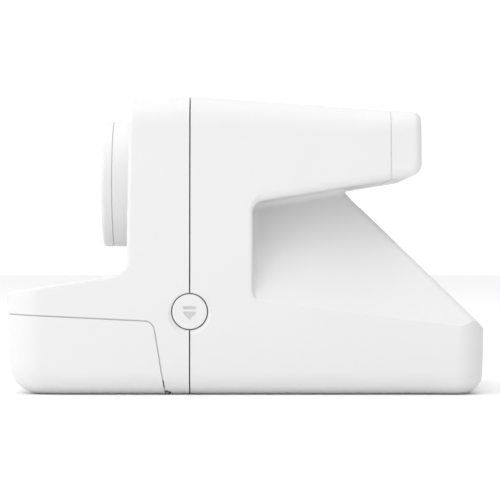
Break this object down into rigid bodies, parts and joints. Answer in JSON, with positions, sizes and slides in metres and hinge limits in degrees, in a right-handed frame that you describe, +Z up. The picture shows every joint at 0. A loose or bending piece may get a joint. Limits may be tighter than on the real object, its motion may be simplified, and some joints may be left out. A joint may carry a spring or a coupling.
{
  "type": "instant camera",
  "caption": "Box-type instant camera: white two-part shell, overhanging head with lens barrel, sloping back, drop-down film door with rollers and geared drive.",
  "frame": {"origin": "centre of the underside, under the middle of the overall width and depth", "axes": "+Z up, the lens looks along -Y, +X is on the left of a person who holds the camera to the eye"},
  "size_m": [0.1122, 0.1502, 0.094],
  "materials": {
    "shell": "fine matt texture, off-white",
    "white_gloss": "smooth satin white",
    "black_plastic": "moulded matt black",
    "black_gloss": "polished black",
    "lens_glass": "clear, coated",
    "red_plastic": "satin red",
    "mirror": "silvered",
    "steel": "plain machined",
    "aluminium": "bright formed sheet",
    "brass": "machined",
    "board": "green solder mask",
    "gear": "natural acetal",
    "rubber": "dull black",
    "battery_wrap": "shrink wrap"
  },
  "bodies": {
    "camera": {"front_shell": "shell", "rear_shell": "shell", "rear_cap": "shell", "hinge_pin": "steel", "housing_screw_1": "steel", "housing_screw_2": "steel", "housing_screw_3": "steel", "housing_screw_4": "steel", "lens_rear_ring": "shell", "lens_front_ring": "shell", "lens_bezel": "black_gloss", "front_glass": "lens_glass", "lens_board": "black_plastic", "focus_motor": "steel", "shutter_solenoid": "brass", "light_sensor_window": "black_gloss", "timer_led": "red_plastic", "flash_window": "lens_glass", "flash_reflector": "aluminium", "flash_tube": "lens_glass", "viewfinder_front_window": "lens_glass", "viewfinder_tunnel": "black_plastic", "viewfinder_eyepiece": "black_gloss", "counter_display": "black_gloss", "exposure_chamber": "black_plastic", "mirror": "mirror", "film_frame": "black_plastic", "film_shield": "rubber", "drive_motor": "steel", "main_board": "board", "flash_board": "board", "flash_capacitor": "black_gloss", "battery": "battery_wrap", "usb_socket": "steel"},
    "door": {"film_door": "shell", "roller_bracket_left": "steel", "roller_bracket_right": "steel"},
    "release": {"door_release_button": "shell", "latch_hook": "steel"},
    "shutter_key": {"shutter_button": "red_plastic"},
    "timer_key": {"self_timer_button": "white_gloss"},
    "flash_key": {"flash_mode_button": "white_gloss"},
    "power_key": {"power_button": "white_gloss"},
    "focus": {"focus_disc": "black_plastic", "near_lens": "lens_glass", "far_lens": "lens_glass"},
    "blade_left": {"shutter_blade_left": "black_plastic"},
    "blade_right": {"shutter_blade_right": "black_plastic"},
    "pick": {"pick_arm": "steel"},
    "lower_drive": {"lower_roller": "steel", "roller_gear": "gear"},
    "upper_drive": {"upper_roller": "steel"},
    "drive_gear": {"roller_drive_gear": "gear"},
    "idler": {"idler_gear": "gear"},
    "reduction": {"reduction_gear": "gear"},
    "pinion": {"motor_pinion": "brass"}
  },
  "joints": [
    {"name": "film_door_hinge", "type": "hinge", "parent": "camera", "child": "door", "pos_m": [0, -0.025, 0.00175], "axis": [1, 0, 0], "range_deg": [0, 60]},
    {"name": "door_release_slide", "type": "slide", "parent": "camera", "child": "release", "axis": [-1, 0, 0], "range_m": [0, 0.0025], "stiffness_N_per_m": 500, "springref_m": -0.0006},
    {"name": "shutter_button_slide", "type": "slide", "parent": "camera", "child": "shutter_key", "axis": [0, 1, 0], "range_m": [0, 0.002], "stiffness_N_per_m": 400, "springref_m": -0.0005},
    {"name": "self_timer_button_slide", "type": "slide", "parent": "camera", "child": "timer_key", "axis": [0, 1, 0], "range_m": [0, 0.0012], "stiffness_N_per_m": 300, "springref_m": -0.0005},
    {"name": "flash_mode_button_slide", "type": "slide", "parent": "camera", "child": "flash_key", "axis": [0, -1, 0], "range_m": [0, 0.001], "stiffness_N_per_m": 300, "springref_m": -0.0005},
    {"name": "power_button_slide", "type": "slide", "parent": "camera", "child": "power_key", "axis": [0, -1, 0], "range_m": [0, 0.001], "stiffness_N_per_m": 300, "springref_m": -0.0005},
    {"name": "focus_disc_turn", "type": "hinge", "parent": "camera", "child": "focus", "pos_m": [0, -0.0326, 0.0552], "axis": [0, 1, 0], "range_deg": [0, 72]},
    {"name": "shutter_blade_left_swing", "type": "hinge", "parent": "camera", "child": "blade_left", "pos_m": [-0.017, -0.0287, 0.0622], "axis": [0, -1, 0], "range_deg": [0, 42], "stiffness_Nm_per_rad": 0.001, "springref_deg": -17.19},
    {"name": "shutter_blade_right_swing", "type": "hinge", "parent": "camera", "child": "blade_right", "pos_m": [0.017, -0.0278, 0.0622], "axis": [0, 1, 0], "range_deg": [0, 42], "stiffness_Nm_per_rad": 0.001, "springref_deg": -17.19},
    {"name": "pick_arm_slide", "type": "slide", "parent": "camera", "child": "pick", "axis": [0, -1, 0], "range_m": [0, 0.012]},
    {"name": "lower_roller_spin", "type": "hinge", "parent": "door", "child": "lower_drive", "pos_m": [0, -0.06, 0.0206], "axis": [1, 0, 0], "continuous": true},
    {"name": "upper_roller_spin", "type": "hinge", "parent": "door", "child": "upper_drive", "pos_m": [0, -0.06, 0.0274], "axis": [1, 0, 0], "continuous": true},
    {"name": "drive_gear_spin", "type": "hinge", "parent": "camera", "child": "drive_gear", "pos_m": [-0.05, -0.05622, 0.02763], "axis": [1, 0, 0], "continuous": true},
    {"name": "idler_gear_spin", "type": "hinge", "parent": "camera", "child": "idler", "pos_m": [-0.05, -0.04556, 0.02497], "axis": [1, 0, 0], "continuous": true},
    {"name": "reduction_gear_spin", "type": "hinge", "parent": "camera", "child": "reduction", "pos_m": [-0.05, -0.03496, 0.02781], "axis": [1, 0, 0], "continuous": true},
    {"name": "motor_pinion_spin", "type": "hinge", "parent": "camera", "child": "pinion", "pos_m": [-0.05, -0.02597, 0.033], "axis": [1, 0, 0], "continuous": true}
  ],
  "couplings": [
    {"joint": "upper_roller_spin", "follows": "lower_roller_spin", "ratio": -1},
    {"joint": "shutter_blade_right_swing", "follows": "shutter_blade_left_swing", "ratio": 1},
    {"joint": "drive_gear_spin", "follows": "lower_roller_spin", "ratio": -1.1667},
    {"joint": "idler_gear_spin", "follows": "lower_roller_spin", "ratio": 0.58333},
    {"joint": "reduction_gear_spin", "follows": "lower_roller_spin", "ratio": -1.1667},
    {"joint": "motor_pinion_spin", "follows": "lower_roller_spin", "ratio": 2.1389}
  ]
}
